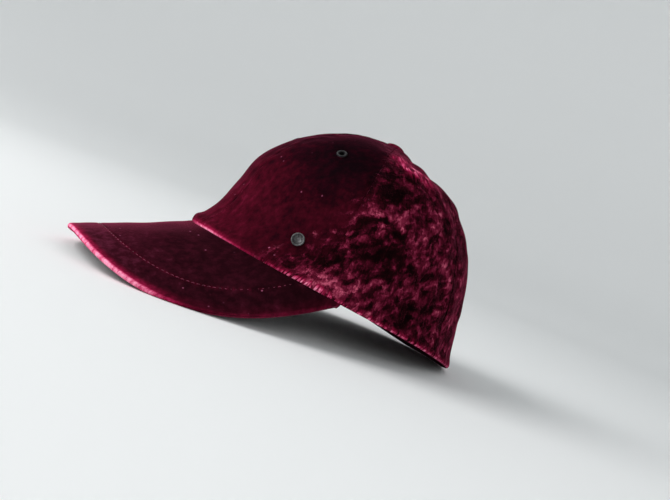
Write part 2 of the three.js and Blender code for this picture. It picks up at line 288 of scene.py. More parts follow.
def add_node(tree, kind, feeds=None, stops=None, **settings):
    """Adds a node to a tree: settings are its properties, feeds its sockets' values or what is linked to
    them, and stops the places and hex colours of a ramp."""
    made = tree.nodes.new(kind)
    for name, value in settings.items():
        setattr(made, name, value)
    for name, value in (feeds or {}).items():
        if isinstance(value, bpy.types.NodeSocket):
            tree.links.new(value, made.inputs[name])
        else:
            made.inputs[name].default_value = value
    if stops:
        marks = made.color_ramp.elements
        marks.remove(marks[1])
        marks[0].position = stops[0][0]
        marks[0].color = hex_linear(stops[0][1])
        for place, code in stops[1:]:
            marks.new(place).color = hex_linear(code)
    return made


# Cell sizes of the velvet's patterns in millimetres, from the finest to the broadest.
STREAK_MM, FLECK_MM, GRAIN_MM, STRAND_MM = 1.0, 1.4, 1.5, 1.8
FLAKE_MM, MOTTLE_MM, PATCH_MM, TUFT_SPACING_MM = 3.2, 4.0, 4.6, 7.0
DRIFT_MM, CLOUD_MM, WANDER_MM = 14.0, 14.0, 15.0
WANDER_REACH_MM = 9.0
TEAR_REACH_MM = 4.0
CRUSH_SLANT = (0.0, np.radians(-42), np.radians(75))
CRUSH_STRETCH = 1.5
PILE_RELIEF_MM = 0.7
STANDING_RELIEF = 0.3
# Crushed pile, from facing the eye to lying across it, and pile that splays open with a painted highlight,
# from its roots to its tips.
CRUSHED_STOPS = [
    (0.12, "#0c0405"), (0.34, "#1a0609"), (0.48, "#330914"),
    (0.62, "#551125"), (0.78, "#7e243e"), (1.0, "#cc5c78"),
]
SPLAY_AND_HIGHLIGHT_STOPS = [(0.0, "#5c0a22"), (0.3, "#92183e"), (0.6, "#d84e7a"), (1.0, "#ffa2c0")]


def velvet(name, standing_stops, sheen):
    """Rayon velvet, woven with a cut pile 1.5 mm long. Where it is crushed, the pile lies in patches that
    face all ways: those that face the eye are nearly black, and those lying across shine pink. Elsewhere it
    stands, dark and even. Where the cloth is folded it splays open and shows its bright shafts, and there a
    painted highlight goes with them."""
    material, tree, shader = new_material(name)
    # Two frames in millimetres: the cap's own, and the cloth's, whose second axis runs with the pile.
    spot = add_node(
        tree, "ShaderNodeVectorMath",
        {0: add_node(tree, "ShaderNodeTexCoord").outputs["Object"], "Scale": 1 / MM}, operation="SCALE",
    ).outputs[0]
    comb = add_node(
        tree, "ShaderNodeVectorMath",
        {0: add_node(tree, "ShaderNodeUVMap", uv_map="pile").outputs["UV"], "Scale": 1 / MM},
        operation="SCALE",
    ).outputs[0]
    # Combed pile: streaks 1 mm wide and 5 mm long, and flecks 1.4 mm across, both coarser than the pile
    # itself, which is too fine to see.
    drawn, brushed = (
        add_node(
            tree, "ShaderNodeVectorMath", {0: comb, 1: (1.0, shrink, 1.0)}, operation="MULTIPLY"
        ).outputs[0]
        for shrink in (0.2, 0.8)
    )
    streaks = add_node(
        tree, "ShaderNodeTexNoise",
        {"Vector": drawn, "Scale": 1 / STREAK_MM, "Detail": 2.0, "Roughness": 0.6},
    ).outputs["Fac"]
    fleck_noise = add_node(
        tree, "ShaderNodeTexNoise",
        {"Vector": brushed, "Scale": 1 / FLECK_MM, "Detail": 3.0, "Roughness": 0.7},
    )
    flecks = fleck_noise.outputs["Fac"]
    # Crush lines slant up towards the nape: drifts 21 mm long, patches 7 mm, flakes 4.5 mm and grains 2 mm,
    # each two thirds as wide as long. They wander by some 4 mm, and the flecks tear their edges by 1 mm.
    wander = add_node(
        tree, "ShaderNodeTexNoise", {"Vector": spot, "Scale": 1 / WANDER_MM, "Detail": 2.0}
    ).outputs["Color"]
    swung = add_node(
        tree, "ShaderNodeVectorMath", {0: wander, 1: (WANDER_REACH_MM,) * 3, 2: spot},
        operation="MULTIPLY_ADD",
    ).outputs[0]
    slanted = add_node(
        tree, "ShaderNodeMapping",
        {"Vector": swung, "Rotation": CRUSH_SLANT, "Scale": (CRUSH_STRETCH, 1.0, 1.0)},
        vector_type="TEXTURE",
    ).outputs[0]
    torn = add_node(
        tree, "ShaderNodeVectorMath",
        {0: fleck_noise.outputs["Color"], 1: (TEAR_REACH_MM,) * 3, 2: slanted}, operation="MULTIPLY_ADD",
    ).outputs[0]
    drifts = add_node(
        tree, "ShaderNodeTexNoise", {"Vector": slanted, "Scale": 1 / DRIFT_MM, "Detail": 2.0}
    ).outputs["Fac"]
    patches = add_node(
        tree, "ShaderNodeTexNoise", {"Vector": torn, "Scale": 1 / PATCH_MM, "Detail": 2.0}
    ).outputs["Fac"]
    cells = (
        add_node(tree, "ShaderNodeTexVoronoi", {"Vector": torn, "Scale": 1 / size}).outputs["Color"]
        for size in (FLAKE_MM, GRAIN_MM)
    )
    flakes, grains = (add_node(tree, "ShaderNodeSeparateColor", {0: cell}).outputs[0] for cell in cells)
    # This attribute is the pile's lean with painted light and shade added in: darker at the crown's top and
    # temples and near the peak's hem, lighter towards the peak's nose, in some crushed patches and along
    # puckers.
    lean_and_shade = add_node(tree, "ShaderNodeAttribute", attribute_name="lie").outputs["Fac"]
    lie = lean_and_shade
    for layer, weight in (
        (drifts, 1.0), (patches, 1.2), (flakes, 0.32), (grains, 0.12), (streaks, 0.4), (flecks, 0.3),
    ):
        lie = add_node(
            tree, "ShaderNodeMath", {0: layer, 1: weight, 2: lie}, operation="MULTIPLY_ADD"
        ).outputs[0]
    shine = add_node(tree, "ShaderNodeMapRange", {"Value": lie, 1: 1.14, 2: 2.2}).outputs[0]
    crushed = add_node(tree, "ShaderNodeValToRGB", {"Fac": shine}, stops=CRUSHED_STOPS).outputs["Color"]
    # Standing pile: the same flecks, over mottles 4 mm across and clouds 14 mm across.
    mottles = add_node(
        tree, "ShaderNodeTexNoise", {"Vector": brushed, "Scale": 1 / MOTTLE_MM, "Detail": 2.0}
    ).outputs["Fac"]
    clouds = add_node(tree, "ShaderNodeTexNoise", {"Vector": spot, "Scale": 1 / CLOUD_MM}).outputs["Fac"]
    tone_and_shade = lean_and_shade
    for layer, weight in ((flecks, 0.25), (mottles, 0.45), (clouds, 0.3)):
        tone_and_shade = add_node(
            tree, "ShaderNodeMath", {0: layer, 1: weight, 2: tone_and_shade}, operation="MULTIPLY_ADD"
        ).outputs[0]
    even = add_node(tree, "ShaderNodeValToRGB", {"Fac": tone_and_shade}, stops=standing_stops).outputs["Color"]
    # Single tufts of it stand askew and are painted as bright glints. They are 0.8 mm across and some 10 mm
    # apart.
    single = add_node(tree, "ShaderNodeTexVoronoi", {"Vector": brushed, "Scale": 1 / TUFT_SPACING_MM})
    lot = add_node(tree, "ShaderNodeSeparateColor", {0: single.outputs["Color"]}).outputs[0]
    chosen = add_node(tree, "ShaderNodeMapRange", {"Value": lot, 1: 0.4, 2: 0.95, 4: 0.75}).outputs[0]
    near = add_node(
        tree, "ShaderNodeMapRange", {"Value": single.outputs["Distance"], 1: 0.03, 2: 0.09, 3: 1.0, 4: 0.0}
    ).outputs[0]
    askew_glint = add_node(tree, "ShaderNodeMath", {0: chosen, 1: near}, operation="MULTIPLY").outputs[0]
    standing = add_node(
        tree, "ShaderNodeMix", {0: askew_glint, 6: even, 7: hex_linear("#cc6c92")}, data_type="RGBA"
    ).outputs[2]
    # The crushed ground eats into the smooth one in ragged tongues.
    crush = add_node(tree, "ShaderNodeAttribute", attribute_name="crush").outputs["Fac"]
    tongue = add_node(
        tree, "ShaderNodeMath", {0: patches, 1: 1.2, 2: crush}, operation="MULTIPLY_ADD"
    ).outputs[0]
    share = add_node(
        tree, "ShaderNodeMapRange", {"Value": tongue, 1: 0.85, 2: 1.4}, interpolation_type="SMOOTHSTEP"
    ).outputs[0]
    colour = add_node(
        tree, "ShaderNodeMix", {0: share, 6: standing, 7: crushed}, data_type="RGBA"
    ).outputs[2]
    # Splayed pile at folds, painted as a highlight as well: crimson where it begins to open and pink where
    # it is widest, broken up into tufts, and where it is crushed into strands 2 mm wide and 9 mm long.
    fold = add_node(tree, "ShaderNodeAttribute", attribute_name="fold").outputs["Fac"]
    tufts = 0.0
    for layer, weight in ((streaks, 0.4), (flecks, 0.6), (mottles, 0.5)):
        tufts = add_node(
            tree, "ShaderNodeMath", {0: layer, 1: weight, 2: tufts}, operation="MULTIPLY_ADD"
        ).outputs[0]
    broken = add_node(
        tree, "ShaderNodeMapRange", {"Value": tufts, 1: 0.6, 2: 0.88, 3: 0.46, 4: 1.0}
    ).outputs[0]
    strands = add_node(
        tree, "ShaderNodeTexNoise",
        {"Vector": drawn, "Scale": 1 / STRAND_MM, "Detail": 2.0, "Distortion": 0.6},
    ).outputs["Fac"]
    parted = add_node(
        tree, "ShaderNodeMapRange", {"Value": strands, 1: 0.44, 2: 0.58, 3: 0.0, 4: 1.0}
    ).outputs[0]
    ragged = add_node(tree, "ShaderNodeMix", {0: share, 2: 1.0, 3: parted}, data_type="FLOAT").outputs[0]
    opened_and_lit = fold
    for layer in (broken, ragged):
        opened_and_lit = add_node(tree, "ShaderNodeMath", {0: opened_and_lit, 1: layer}, operation="MULTIPLY").outputs[0]
    splay_and_highlight_colour = add_node(tree, "ShaderNodeValToRGB", {"Fac": opened_and_lit}, stops=SPLAY_AND_HIGHLIGHT_STOPS).outputs["Color"]
    begun = add_node(tree, "ShaderNodeMapRange", {"Value": opened_and_lit, 1: 0.0, 2: 0.25}).outputs[0]
    shown = add_node(
        tree, "ShaderNodeMix", {0: begun, 6: colour, 7: splay_and_highlight_colour}, data_type="RGBA"
    ).outputs[2]
    # Relief of the pile: whole where it is crushed, and much fainter where it stands.
    faint = add_node(
        tree, "ShaderNodeMath", {0: flecks, 1: STANDING_RELIEF}, operation="MULTIPLY"
    ).outputs[0]
    height = add_node(
        tree, "ShaderNodeMix", {0: share, 2: faint, 3: lie}, data_type="FLOAT"
    ).outputs[0]
    nap = add_node(
        tree, "ShaderNodeBump", {"Height": height, "Strength": 0.7, "Distance": PILE_RELIEF_MM * MM}
    ).outputs["Normal"]
    tree.links.new(shown, shader.inputs["Base Color"])
    tree.links.new(nap, shader.inputs["Normal"])
    shader.inputs["Roughness"].default_value = 0.85
    shader.inputs["Specular IOR Level"].default_value = 0.0
    shader.inputs["Sheen Weight"].default_value = sheen
    shader.inputs["Sheen Roughness"].default_value = 0.25
    shader.inputs["Sheen Tint"].default_value = hex_linear("#d0587c")
    return material


crown_velvet = velvet(
    "crushed_rayon_velvet",
    [(0.12, "#10060a"), (0.28, "#22060e"), (0.42, "#360813"), (0.56, "#4a0c1c"), (0.74, "#6c1832")],
    sheen=0.45,
)

# The velvet's ground inside: a plain weave of matt cotton. Its real threads lie 0.5 mm apart, too fine to
# show, so they are drawn 2 mm apart. A wave texture of scale 1 repeats 20 / 2 pi times in a unit.
WEAVE_PITCH_MM = 1.973
WAVES_A_UNIT = 20 / (2 * np.pi)
WEAVE_RELIEF_MM = 0.15
ground_weave, weave_tree, weave_shader = new_material("velvet_ground_plain_weave")
weave_place = add_node(
    weave_tree, "ShaderNodeVectorMath",
    {0: add_node(weave_tree, "ShaderNodeUVMap", uv_map="pile").outputs["UV"], "Scale": 1 / MM},
    operation="SCALE",
).outputs[0]
warp, weft = (
    add_node(
        weave_tree, "ShaderNodeTexWave",
        {"Vector": weave_place, "Scale": 1 / (WAVES_A_UNIT * WEAVE_PITCH_MM), "Distortion": 0.4},
        bands_direction=direction,
    ).outputs["Fac"]
    for direction in ("X", "Y")
)
crossing = add_node(weave_tree, "ShaderNodeMath", {0: warp, 1: weft}, operation="MULTIPLY").outputs[0]
weave_colour = add_node(
    weave_tree, "ShaderNodeValToRGB", {"Fac": crossing}, stops=[(0.0, "#2a0a14"), (1.0, "#4c1626")]
).outputs["Color"]
weave_tree.links.new(weave_colour, weave_shader.inputs["Base Color"])
weave_relief = add_node(
    weave_tree, "ShaderNodeBump", {"Height": crossing, "Strength": 0.5, "Distance": WEAVE_RELIEF_MM * MM}
).outputs["Normal"]
weave_tree.links.new(weave_relief, weave_shader.inputs["Normal"])
weave_shader.inputs["Roughness"].default_value = 0.92
weave_shader.inputs["Specular IOR Level"].default_value = 0.1


def seat_of(place, side):
    """Middle and outward direction of a fitting on the crown, on the wearer's left (1) or right (-1)."""
    azimuth, rise = np.array(place[0] * side), np.array(place[1])
    return crown_form(azimuth, rise), crown_normal(azimuth, rise)


fittings = [seat_of(EYELET_PLACE, 1), seat_of(EYELET_PLACE, -1), seat_of(RIVET_PLACE, 1)]
for index, panel_name in enumerate(PANELS):
    width_share = np.linspace(-1, 1, PANEL_COLUMNS)
    width_share = (1 - COLUMN_CROWDING) * width_share + COLUMN_CROWDING * np.sin(width_share * np.pi / 2)
    height_share = np.linspace(0, 1, PANEL_ROWS)
    height_share = (1 - ROW_CROWDING) * height_share + ROW_CROWDING * height_share**2
    rise = np.broadcast_to(height_share[None, :], (PANEL_COLUMNS, PANEL_ROWS))
    middle = np.full_like(rise, PANEL_ANGLE * (index + 0.5))
    radius = np.linalg.norm(crown_form(middle, rise)[..., :2], axis=-1)
    azimuth = middle + width_share[:, None] * (PANEL_ANGLE / 2 + SEAM_LAP_MM / 2 / radius)
    form, normal = crown_form(azimuth, rise), crown_normal(azimuth, rise)
    step_up = np.linalg.norm(np.diff(form, axis=1), axis=-1)
    above_hem = np.concatenate([np.zeros((PANEL_COLUMNS, 1)), np.cumsum(step_up, axis=1)], axis=1)
    from_middle = (azimuth - middle) * radius
    from_seam = (PANEL_ANGLE / 2 - np.abs(azimuth - middle)) * radius
    heading = np.degrees(np.angle(np.exp(1j * azimuth)))
    aside = np.abs(heading)

    # Crushed ground: whole on the side and back gores; on the front ones only near the hem and the side
    # seam. A bend in the left side gore, with a painted highlight along it, runs down from the button.
    bend_splay_and_highlight = hump(rise, BEND_RISE - BEND_FALL * (heading - BEND_DEG), BEND_HALF_WIDTH)
    bend_splay_and_highlight = bend_splay_and_highlight * hump(heading, BEND_DEG, BEND_HALF_LENGTH_DEG) * fade(heading, *BEND_START_DEG)
    crush_edge = CRUSH_EDGE_DEG - CRUSH_SPREAD_DEG * np.exp(-rise / CRUSH_SPREAD_RISE)
    crush = fade(aside - crush_edge, -CRUSH_FADE_DEG, CRUSH_FADE_DEG)
    crush = np.maximum(crush, fade(bend_splay_and_highlight, 0.1, 0.4))
    lie = sum(
        bright * hump(heading, place, width) * hump(rise, height, reach)
        for place, height, width, reach, bright in CRUSH_DRIFTS_LIT_AND_SHADED
    )
    # Standing pile is painted darker towards the top and the temples, as painted shade, and crushed pile
    # parts at the back's seams.
    lie = lie - (1 - crush) * (0.26 * fade(rise, 0.25, 0.62) + 0.12 * fade(aside, 8, 40))
    lie = lie - 0.25 * hump(from_seam, 0, 0.8) * fade(aside, 70, 110)

    # Relief: seam valleys, broad slack, puckers beside the seams, and the hem's soft roll at the front.
    swell = np.sqrt(np.abs(np.sin(azimuth * len(PANELS) / 2)))
    valley = SEAM_VALLEY_MM * np.sin(np.pi * rise) * (1 - swell)
    slack = SLACK_MM * ripple(form, SLACK_WAVE_MM, 11)
    slack = slack + CRUMPLE_MM * (0.25 + crush) * ripple(form, CRUMPLE_WAVE_MM, 12)
    gathered = np.exp(-from_seam / PUCKER_REACH_MM) * ripple(form, PUCKER_WAVE_MM, 13)
    pucker = (PUCKER_MM + 0.2 * fade(aside, 30, 8)) * gathered
    # Puckers near the front seam are also painted lighter and darker in step with their relief, as painted
    # light and shade.
    lie = lie + 0.12 * fade(aside, 30, 8) * gathered
    roll = HEM_BULGE_MM * hump(above_hem, 5, 3.5) * fade(aside, 75, 35)
    still = fade(above_hem, 0, 6) * fade(1 - rise, 0, 0.12)
    press = np.zeros_like(rise)
    kept = np.ones((PANEL_COLUMNS - 1, PANEL_ROWS - 1), dtype=bool)
    for number, (seat, _) in enumerate(fittings):
        distance = np.linalg.norm(form - seat, axis=-1)
        still = still * (1 - hump(distance, 0, FITTING_REACH_MM))
        press += FITTING_PRESS_MM * hump(distance, 0, FITTING_REACH_MM)
        if number < 2:
            cell = (distance[:-1, :-1] + distance[1:, :-1] + distance[1:, 1:] + distance[:-1, 1:]) / 4
            kept &= cell > EYELET_DRILL_MM
    puff = BUTTON_PUFF_MM * hump(radius, 13, 5) * fade(rise, 0.8, 0.88)
    outer = form + normal * (still * (slack + pucker) + roll + puff - valley - press)[..., None]

    plump = HEM_PLUMP_MM * hump(above_hem, 2.5, 3)
    half = (WALL_MM / 2 + plump) * rounded(above_hem, HEM_ROLL_MM) * rounded(from_seam, SEAM_ROLL_MM)
    heart = outer - normal * WALL_MM / 2
    points = rest(np.stack([heart + normal * half[..., None], heart - normal * half[..., None]]))

    # The pile splays over the bend and at the turned hem, and a painted highlight goes with it: most of all
    # over the forehead and the temples, and from the sides round the back, where it lights the hem's shaded
    # edge.
    foremost = np.clip(hump(heading, 8, 15) + hump(aside, 59, 14), 0, 1)
    hem_splay_and_light = 0.25 + 0.9 * foremost + 0.75 * fade(aside, 66, 84)
    depth = HEM_SPLAY_AND_HIGHLIGHT_MM + TEMPLE_SPLAY_AND_HIGHLIGHT_MM * hump(aside, 63, 9)
    fold = hem_splay_and_light * (0.3 * fade(above_hem, 3 + depth, 1) + 0.7 * fade(above_hem, depth, 0.4))
    fold += 1.5 * bend_splay_and_highlight * (0.8 + 0.6 * ripple(form, 9, 14))

    # The pile's map is shifted from gore to gore, so that no two share a pattern.
    pile = np.stack([from_middle + PILE_SHIFT_MM * index, above_hem], axis=-1) * MM
    piece = make_piece(
        f"{panel_name}_velvet", points, skin_faces(kept), [crown_velvet, ground_weave], backed=(1,),
        pile=np.stack([pile, pile]), crush=np.stack([crush, crush]), lie=np.stack([lie, lie]),
        fold=np.stack([fold, fold]),
    )
    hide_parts(panel_name)
    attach(piece, "root")


# Button: a disc of the same velvet drawn tight over a domed mould, with its shank through the meeting point
# of the gores and a plate under it.
BUTTON_RADIUS_MM = 7.2
BUTTON_HEIGHT_MM = 3.5
BUTTON_SHANK_MM = 3.8
BUTTON_PLATE_MM = 6.5
BUTTON_SEAT_MM = 0.35
BUTTON_FALL_MM = 0.612
CLINCH_GAP_MM = 0.7
CLINCH_HEIGHT_MM = 0.6
BUTTON_SPOKES = 128
crown_top = np.array([0.0, 0.0, FOREHEAD_LINE_MM[-1, 1]])
dome_angle = np.linspace(0, np.pi / 2, 40)
plate_top = -(WALL_MM + CLINCH_GAP_MM + BUTTON_FALL_MM)
button_profile = np.array([
    (0, plate_top - CLINCH_HEIGHT_MM),
    (BUTTON_PLATE_MM, plate_top - CLINCH_HEIGHT_MM),
    (BUTTON_PLATE_MM, plate_top),
    (BUTTON_SHANK_MM, plate_top),
    (BUTTON_SHANK_MM, BUTTON_SEAT_MM),
    *zip(
        BUTTON_RADIUS_MM * np.cos(dome_angle),
        BUTTON_SEAT_MM - BUTTON_FALL_MM + BUTTON_HEIGHT_MM * np.sin(dome_angle),
    ),
])
button_profile[-1, 0] = 0


def turned(profile, spokes, place, axis):
    """Points and faces of a profile of radius and height turned about an axis that starts at a place. A
    profile that begins and ends on the axis has one point at each pole, and any other closes on itself."""
    spin = np.linspace(0, 2 * np.pi, spokes, endpoint=False)
    side = np.cross(axis, (0.0, 0.0, 1.0) if abs(axis[2]) < 0.9 else (1.0, 0.0, 0.0))
    side /= np.linalg.norm(side)
    around = np.cos(spin)[:, None] * side + np.sin(spin)[:, None] * np.cross(axis, side)
    poled = profile[0, 0] == 0
    rings = profile[1:-1] if poled else profile
    at = np.arange(len(rings) * spokes).reshape(len(rings), spokes)
    points = (place + rings[:, None, :1] * around + rings[:, None, 1:] * axis).reshape(-1, 3)
    upper = np.roll(at, -1, axis=0)
    quads = np.stack([at, np.roll(at, -1, axis=1), np.roll(upper, -1, axis=1), upper], axis=-1)
    if not poled:
        return points, [quads.reshape(-1, 4)]
    points = np.vstack([points, place + profile[[0, -1], 1:] * axis])
    foot, head = np.full(spokes, at.size), np.full(spokes, at.size + 1)
    return points, [
        quads[:-1].reshape(-1, 4),
        np.stack([foot, np.roll(at[0], -1), at[0]], axis=1),
        np.stack([at[-1], np.roll(at[-1], -1), head], axis=1),
    ]


button_points, button_faces = turned(button_profile, BUTTON_SPOKES, crown_top, np.array([0.0, 0.0, 1.0]))
button = make_piece(
    "button_velvet", rest(button_points), button_faces, [crown_velvet], pile=button_points[:, :2] * MM,
    crush=np.full(len(button_points), 0.35), lie=np.full(len(button_points), 0.08),
    fold=np.zeros(len(button_points)),
)
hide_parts("top_button")
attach(button, "root")


# Peak: a stiff crescent covered with the same velvet above and below, lying smooth. Its edge is a plump
# roll, and one row of stitches holds the cover to the board.
PEAK_LENGTH_MM = 78.0
PEAK_HALF_WIDTH_MM = 91.5
PEAK_SLOPE = np.radians(27.5)
PEAK_BEND_MM = 105.0
PEAK_THICKNESS_MM = 3.6
PEAK_END_THICKNESS_MM = 1.6
PEAK_TUCK_MM = 2.6
PEAK_END_WIDTH_MM = 1.6
PEAK_HEM_HOLD_MM = 60.0
PEAK_NOSE_POWER = 2.3
PEAK_CORNER_POWER = 3.35
PEAK_SEAT_MM, PEAK_CLOSE_MM = 0.35, 0.05
PEAK_STATIONS = 300
PEAK_STEPS = 150
PEAK_STATION_POWER = 3
PEAK_STEP_POWER = 1.8
PEAK_TAPER_POWER = 8
STITCH_NOSE_INSET_MM = 19.0
STITCH_SIDE_INSET_MM = 15.0
STITCH_PITCH_MM = 3.1
STITCH_LENGTH_MM = 2.3
STITCH_RADIUS_MM = 0.26
STITCH_GROOVE_MM, GROOVE_HALF_WIDTH_MM = 0.4, 1.1
EDGE_BEAD_MM, BEAD_INSET_MM, BEAD_REACH_MM = 0.25, 3.5, 2.5
PEAK_SLACK_MM, PEAK_SLACK_WAVE_MM = 0.25, 26


def peak_sheet(across, ahead):
    """Top of the peak: the flat crescent wound round a cylinder whose axis slopes down ahead."""
    turn = across / PEAK_BEND_MM
    drop = PEAK_BEND_MM * (1 - np.cos(turn))
    out, up = FOREHEAD_LINE_MM[0]
    return np.stack([
        PEAK_BEND_MM * np.sin(turn),
        -(out + ahead * np.cos(PEAK_SLOPE) - drop * np.sin(PEAK_SLOPE)),
        up - PEAK_SEAT_MM - ahead * np.sin(PEAK_SLOPE) - drop * np.cos(PEAK_SLOPE),
    ], axis=-1)


def peak_inner_edge(across):
    """Azimuth of the hem over the crescent's inner edge, and how far ahead that edge lies."""
    turn = across / PEAK_BEND_MM
    azimuth = np.arcsin(PEAK_BEND_MM * np.sin(turn) / EAR_LINE_MM[0, 0])
    drop = PEAK_BEND_MM * (1 - np.cos(turn))
    behind = FOREHEAD_LINE_MM[0, 0] * (np.cos(azimuth) - 1)
    return azimuth, (behind + drop * np.sin(PEAK_SLOPE)) / np.cos(PEAK_SLOPE)


def peak_outer_edge(across, nose_inset=0.0, side_inset=0.0):
    """The crescent's outer edge, or a line inside it: a superellipse from corner to corner."""
    corner = peak_inner_edge(np.array(PEAK_HALF_WIDTH_MM))[1] + PEAK_END_WIDTH_MM
    share = np.minimum(np.abs(across) / (PEAK_HALF_WIDTH_MM - side_inset), 1)
    reach = (1 - share**PEAK_NOSE_POWER) ** (1 / PEAK_CORNER_POWER)
    return corner + (PEAK_LENGTH_MM - nose_inset - corner) * reach


def peak_top(across, ahead):
    """Top of the peak, drawn up to the hem's own height close to it."""
    azimuth, inner = peak_inner_edge(across)
    hem_height = crown_form(azimuth, np.zeros_like(azimuth))[..., 2]
    lift = hem_height - PEAK_SEAT_MM - peak_sheet(across, inner)[..., 2]
    hold = np.clip(1 - (ahead - inner) / PEAK_HEM_HOLD_MM, 0, 1) ** 2
    top = peak_sheet(across, ahead)
    top[..., 2] += lift * hold
    return top


def peak_up(across):
    """Direction square to the bent crescent, upwards."""
    turn = across / PEAK_BEND_MM
    return np.stack([
        np.sin(turn), -np.cos(turn) * np.sin(PEAK_SLOPE), np.cos(turn) * np.cos(PEAK_SLOPE)
    ], axis=-1)


def peak_thickness(across):
    """Thickness of the peak, which thins only near its ends."""
    reach = np.minimum(np.abs(across) / PEAK_HALF_WIDTH_MM, 1)
    slim = (1 - (1 - reach) ** (1 / PEAK_STATION_POWER)) ** PEAK_TAPER_POWER
    return PEAK_THICKNESS_MM + (PEAK_END_THICKNESS_MM - PEAK_THICKNESS_MM) * slim


def nearest(points, line):
    """Distance of each point of the flat crescent from a line of points on it."""
    gaps = [np.min(np.hypot(*(row[:, None] - line).transpose(2, 0, 1)), axis=1) for row in points]
    return np.stack(gaps)


# The stitch row, evenly spaced in the flat, from one side's hem round to the other.
row_across = np.linspace(-1, 1, 4001) * (PEAK_HALF_WIDTH_MM - STITCH_SIDE_INSET_MM)
row_ahead = peak_outer_edge(row_across, STITCH_NOSE_INSET_MM, STITCH_SIDE_INSET_MM)
row_line = np.stack([row_across, row_ahead], axis=-1)
row_line = row_line[row_line[:, 1] > peak_inner_edge(row_across)[1] + STITCH_PITCH_MM]
row_length = np.concatenate([[0], np.cumsum(np.linalg.norm(np.diff(row_line, axis=0), axis=1))])
edge_across = PEAK_HALF_WIDTH_MM * np.sin(np.linspace(-1, 1, 801) * np.pi / 2)
edge_line = np.stack([edge_across, peak_outer_edge(edge_across)], axis=-1)

station = np.linspace(-1, 1, PEAK_STATIONS)[:, None]
across = PEAK_HALF_WIDTH_MM * np.sign(station) * (1 - (1 - np.abs(station)) ** PEAK_STATION_POWER)
step = np.concatenate([[-1.0], np.linspace(0, 1, PEAK_STEPS)])[None, :]
share = 1 - (1 - np.maximum(step, 0)) ** PEAK_STEP_POWER
azimuth, inner = peak_inner_edge(across)
length = peak_outer_edge(across) - inner
ahead = inner + length * share
across = np.broadcast_to(across, ahead.shape)
thickness = peak_thickness(across)[:, :1]
flat_place = np.stack([across, ahead], axis=-1)
from_edge = nearest(flat_place, edge_line)
from_row = nearest(flat_place, row_line[::20])
groove = STITCH_GROOVE_MM * hump(from_row, 0, GROOVE_HALF_WIDTH_MM)
bead = EDGE_BEAD_MM * hump(from_edge, BEAD_INSET_MM, BEAD_REACH_MM)
slack = PEAK_SLACK_MM * ripple(np.stack([across, ahead, 0 * ahead], axis=-1), PEAK_SLACK_WAVE_MM, 21)
slack = slack * fade(length * (1 - share), 0, 8)
half = (thickness / 2 + bead * thickness / PEAK_THICKNESS_MM) * rounded(length * (1 - share), thickness / 2)
up = peak_up(across)
heart = peak_top(across, ahead) - up * (thickness / 2)[..., None]
close = (PEAK_SEAT_MM - PEAK_CLOSE_MM) * fade(ahead - inner, 6, 0)
top = heart + up * (half + slack - groove)[..., None] + close[..., None] * (0, 0, 1)
bottom = heart - up * (half - groove)[..., None]
hem = crown_form(azimuth, np.zeros_like(azimuth))
hem_out = crown_normal(azimuth, np.zeros_like(azimuth)) * (1, 1, 0)
hem_out /= np.linalg.norm(hem_out, axis=-1, keepdims=True)
tucked = hem - hem_out * PEAK_TUCK_MM - (0, 0, PEAK_SEAT_MM)
top[:, :1] = tucked
bottom[:, :1] = tucked - thickness[..., None] * (0, 0, 1)
# The pile splays where the cover turns over the edge, mostly at the nose, and a painted highlight goes with
# it. The peak is painted darker near the hem and lighter towards the nose, as painted shade and light.
turned_over_and_lit = 0.15 + 0.95 * fade(np.abs(across), 84, 64)
rim_splay_and_highlight = turned_over_and_lit * (0.3 * fade(from_edge, 7, 1) + 0.7 * fade(from_edge, 2, 0.4))
fold = rim_splay_and_highlight + 0.1 * hump(from_row, 0, 0.9)
under_fold = rim_splay_and_highlight * fade(np.abs(across), 8, 34)
tone_and_shade = 0.12 * fade(ahead, 20, PEAK_LENGTH_MM - 8) - 0.1 * fade(ahead - inner, 30, 0)
peak_velvet = velvet(
    "smooth_rayon_velvet",
    [(0.12, "#100608"), (0.3, "#1a060b"), (0.44, "#240910"), (0.58, "#340d18"), (0.74, "#521c2e")],
    sheen=1.0,
)
# The grid runs the other way round than a gore's, so that the skin's first side is the bottom.
peak = make_piece(
    "peak_velvet", rest(np.stack([bottom, top])),
    skin_faces(np.ones((PEAK_STATIONS - 1, PEAK_STEPS), dtype=bool)), [peak_velvet],
    pile=np.broadcast_to(flat_place, (2, *flat_place.shape)) * MM,
    crush=np.zeros((2, *ahead.shape)), lie=np.stack([tone_and_shade, tone_and_shade]), fold=np.stack([under_fold, fold]),
)
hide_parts("peak")
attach(peak, "root")

# Stitches: one row of lockstitch in spun polyester thread, above and below. Each stitch is a slim bead that
# dips into the cloth at both ends.
STITCH_RINGS = 5
STITCH_SIDES = 6
STITCH_ARCH_MM = 0.35
STITCH_SINK_MM = 0.1
stitch_at = np.arange(STITCH_PITCH_MM / 2, row_length[-1], STITCH_PITCH_MM)
stitch_flat = np.stack([np.interp(stitch_at, row_length, row_line[:, k]) for k in (0, 1)], axis=-1)
stitch_next = np.stack([np.interp(stitch_at + 0.5, row_length, row_line[:, k]) for k in (0, 1)], axis=-1)
stitch_up = peak_up(stitch_flat[:, 0])
stitch_top = peak_top(*stitch_flat.T)
stitch_run = peak_top(*stitch_next.T) - stitch_top
stitch_run /= np.linalg.norm(stitch_run, axis=-1, keepdims=True)
stitch_side = np.cross(stitch_up, stitch_run)
bow = np.linspace(-1, 1, STITCH_RINGS + 2)
spin = np.linspace(0, 2 * np.pi, STITCH_SIDES, endpoint=False)
bead_profile = np.stack([STITCH_RADIUS_MM * np.sqrt(1 - bow**2), bow * STITCH_LENGTH_MM / 2], axis=-1)
bead_profile[[0, -1], 0] = 0
bead_points, bead_faces = turned(bead_profile, STITCH_SIDES, np.zeros(3), np.array([0.0, 0.0, 1.0]))
